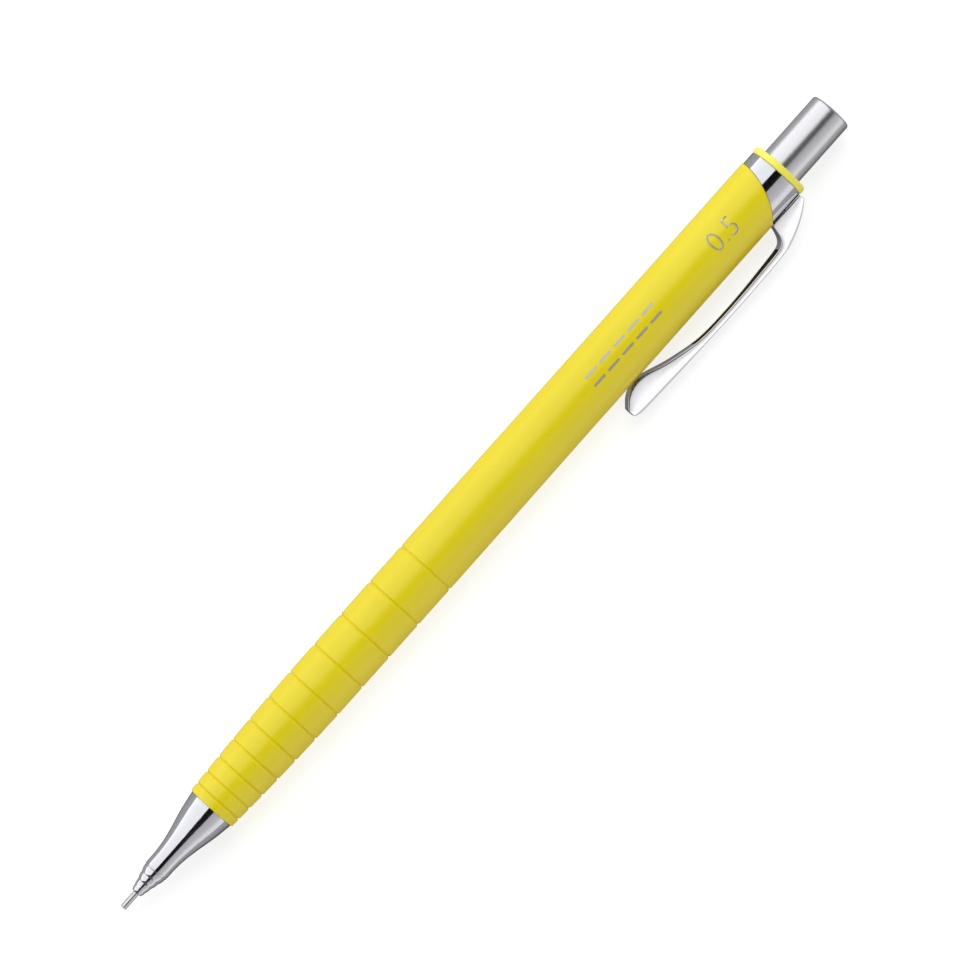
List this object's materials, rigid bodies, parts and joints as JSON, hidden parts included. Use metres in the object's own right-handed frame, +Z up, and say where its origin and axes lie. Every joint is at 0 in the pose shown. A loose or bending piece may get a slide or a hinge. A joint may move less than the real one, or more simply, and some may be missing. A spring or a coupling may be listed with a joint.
{
  "type": "mechanical pencil",
  "caption": "Slim mechanical pencil with a sliding guide pipe, beaded metal nose, ringed grip, oblique clip band with a pocket clip, and a metal push button.",
  "frame": {"origin": "on the pencil's axis at the free end of the guide pipe", "axes": "+X along the axis from the writing end to the push button, +Z up with the pencil lying at rest on its barrel and clip, which points towards -Y and 20 degrees down"},
  "size_m": [0.143, 0.0126, 0.0088],
  "materials": {
    "pipe_steel": "drawn, bright",
    "natural_acetal": "moulded, natural",
    "black_rubber": "moulded, matt",
    "bright_plating": "bright nickel-chrome plating",
    "turned_brass": "turned",
    "spring_steel": "drawn wire",
    "white_polypropylene": "moulded, translucent white",
    "ferrule_tinplate": "drawn tinplate",
    "eraser_vinyl": "cut vinyl",
    "satin_plating": "satin nickel plating",
    "yellow_plastic": "moulded ABS, glossy",
    "graphite": "polymer lead"
  },
  "bodies": {
    "barrel": {"barrel": "yellow_plastic", "clip_band": "bright_plating", "tail_ring": "yellow_plastic", "chuck_sleeve": "turned_brass", "return_spring": "spring_steel"},
    "cone_carrier": {"slider_stop": "turned_brass"},
    "nose": {"nose_cone": "bright_plating"},
    "sleeve": {"guide_pipe": "pipe_steel", "pipe_slider": "natural_acetal", "lead_retainer": "black_rubber"},
    "knock": {"lead_tube": "white_polypropylene", "chuck_body": "turned_brass", "spare_leads": "graphite"},
    "jaw_1": {"chuck_jaw_1": "turned_brass"},
    "jaw_2": {"chuck_jaw_2": "turned_brass"},
    "jaw_3": {"chuck_jaw_3": "turned_brass"},
    "ring": {"clutch_ring": "turned_brass"},
    "lead_in_use": {"lead": "graphite"},
    "cap": {"push_button": "satin_plating"},
    "eraser_plug": {"eraser_ferrule": "ferrule_tinplate", "eraser": "eraser_vinyl"},
    "clip": {"clip_arm": "bright_plating"}
  },
  "joints": [
    {"name": "button_press", "type": "slide", "parent": "barrel", "child": "knock", "axis": [-1, 0, 0], "range_m": [0, 0.0035], "stiffness_N_per_m": 600, "springref_m": -0.004, "deforming": ["return_spring"]},
    {"name": "ring_slide", "type": "slide", "parent": "barrel", "child": "ring", "axis": [-1, 0, 0], "range_m": [0, 0.00101]},
    {"name": "jaw_1_flex", "type": "hinge", "parent": "knock", "child": "jaw_1", "pos_m": [0.02765, 0, -0.00095], "axis": [0, -1, 0], "range_deg": [0, 1.6]},
    {"name": "jaw_2_flex", "type": "hinge", "parent": "knock", "child": "jaw_2", "pos_m": [0.02765, 0.00082, 0.00047], "axis": [0, 0.5, -0.866], "range_deg": [0, 1.6]},
    {"name": "jaw_3_flex", "type": "hinge", "parent": "knock", "child": "jaw_3", "pos_m": [0.02765, -0.00082, 0.00047], "axis": [0, 0.5, 0.866], "range_deg": [0, 1.6]},
    {"name": "lead_feed", "type": "slide", "parent": "knock", "child": "lead_in_use", "axis": [-1, 0, 0], "range_m": [-0.003, 0.01]},
    {"name": "button_pull", "type": "slide", "parent": "knock", "child": "cap", "axis": [1, 0, 0], "range_m": [0, 0.02]},
    {"name": "eraser_pull", "type": "slide", "parent": "knock", "child": "eraser_plug", "axis": [1, 0, 0], "range_m": [0, 0.01001]},
    {"name": "cone_travel", "type": "slide", "parent": "barrel", "child": "cone_carrier", "axis": [-1, 0, 0], "range_m": [0, 0.0063]},
    {"name": "cone_turn", "type": "hinge", "parent": "cone_carrier", "child": "nose", "pos_m": [0.0178, 0, 0], "axis": [-1, 0, 0], "range_deg": [0, 2520.1]},
    {"name": "sleeve_retract", "type": "slide", "parent": "nose", "child": "sleeve", "axis": [1, 0, 0], "range_m": [0, 0.0026]},
    {"name": "clip_flex", "type": "hinge", "parent": "barrel", "child": "clip", "pos_m": [0.1312, -0.00418, -0.00152], "axis": [0, -0.342, 0.9397], "range_deg": [0, 5], "stiffness_Nm_per_rad": 0.08, "springref_deg": -5.73}
  ],
  "couplings": [
    {"joint": "ring_slide", "follows": "button_press", "ratio": 0.28571},
    {"joint": "jaw_1_flex", "follows": "button_press", "rad_per_m": 7.48},
    {"joint": "jaw_2_flex", "follows": "button_press", "rad_per_m": 7.48},
    {"joint": "jaw_3_flex", "follows": "button_press", "rad_per_m": 7.48},
    {"joint": "eraser_pull", "follows": "button_pull", "ratio": 0.5},
    {"joint": "cone_turn", "follows": "cone_travel", "rad_per_m": 6981.3}
  ]
}
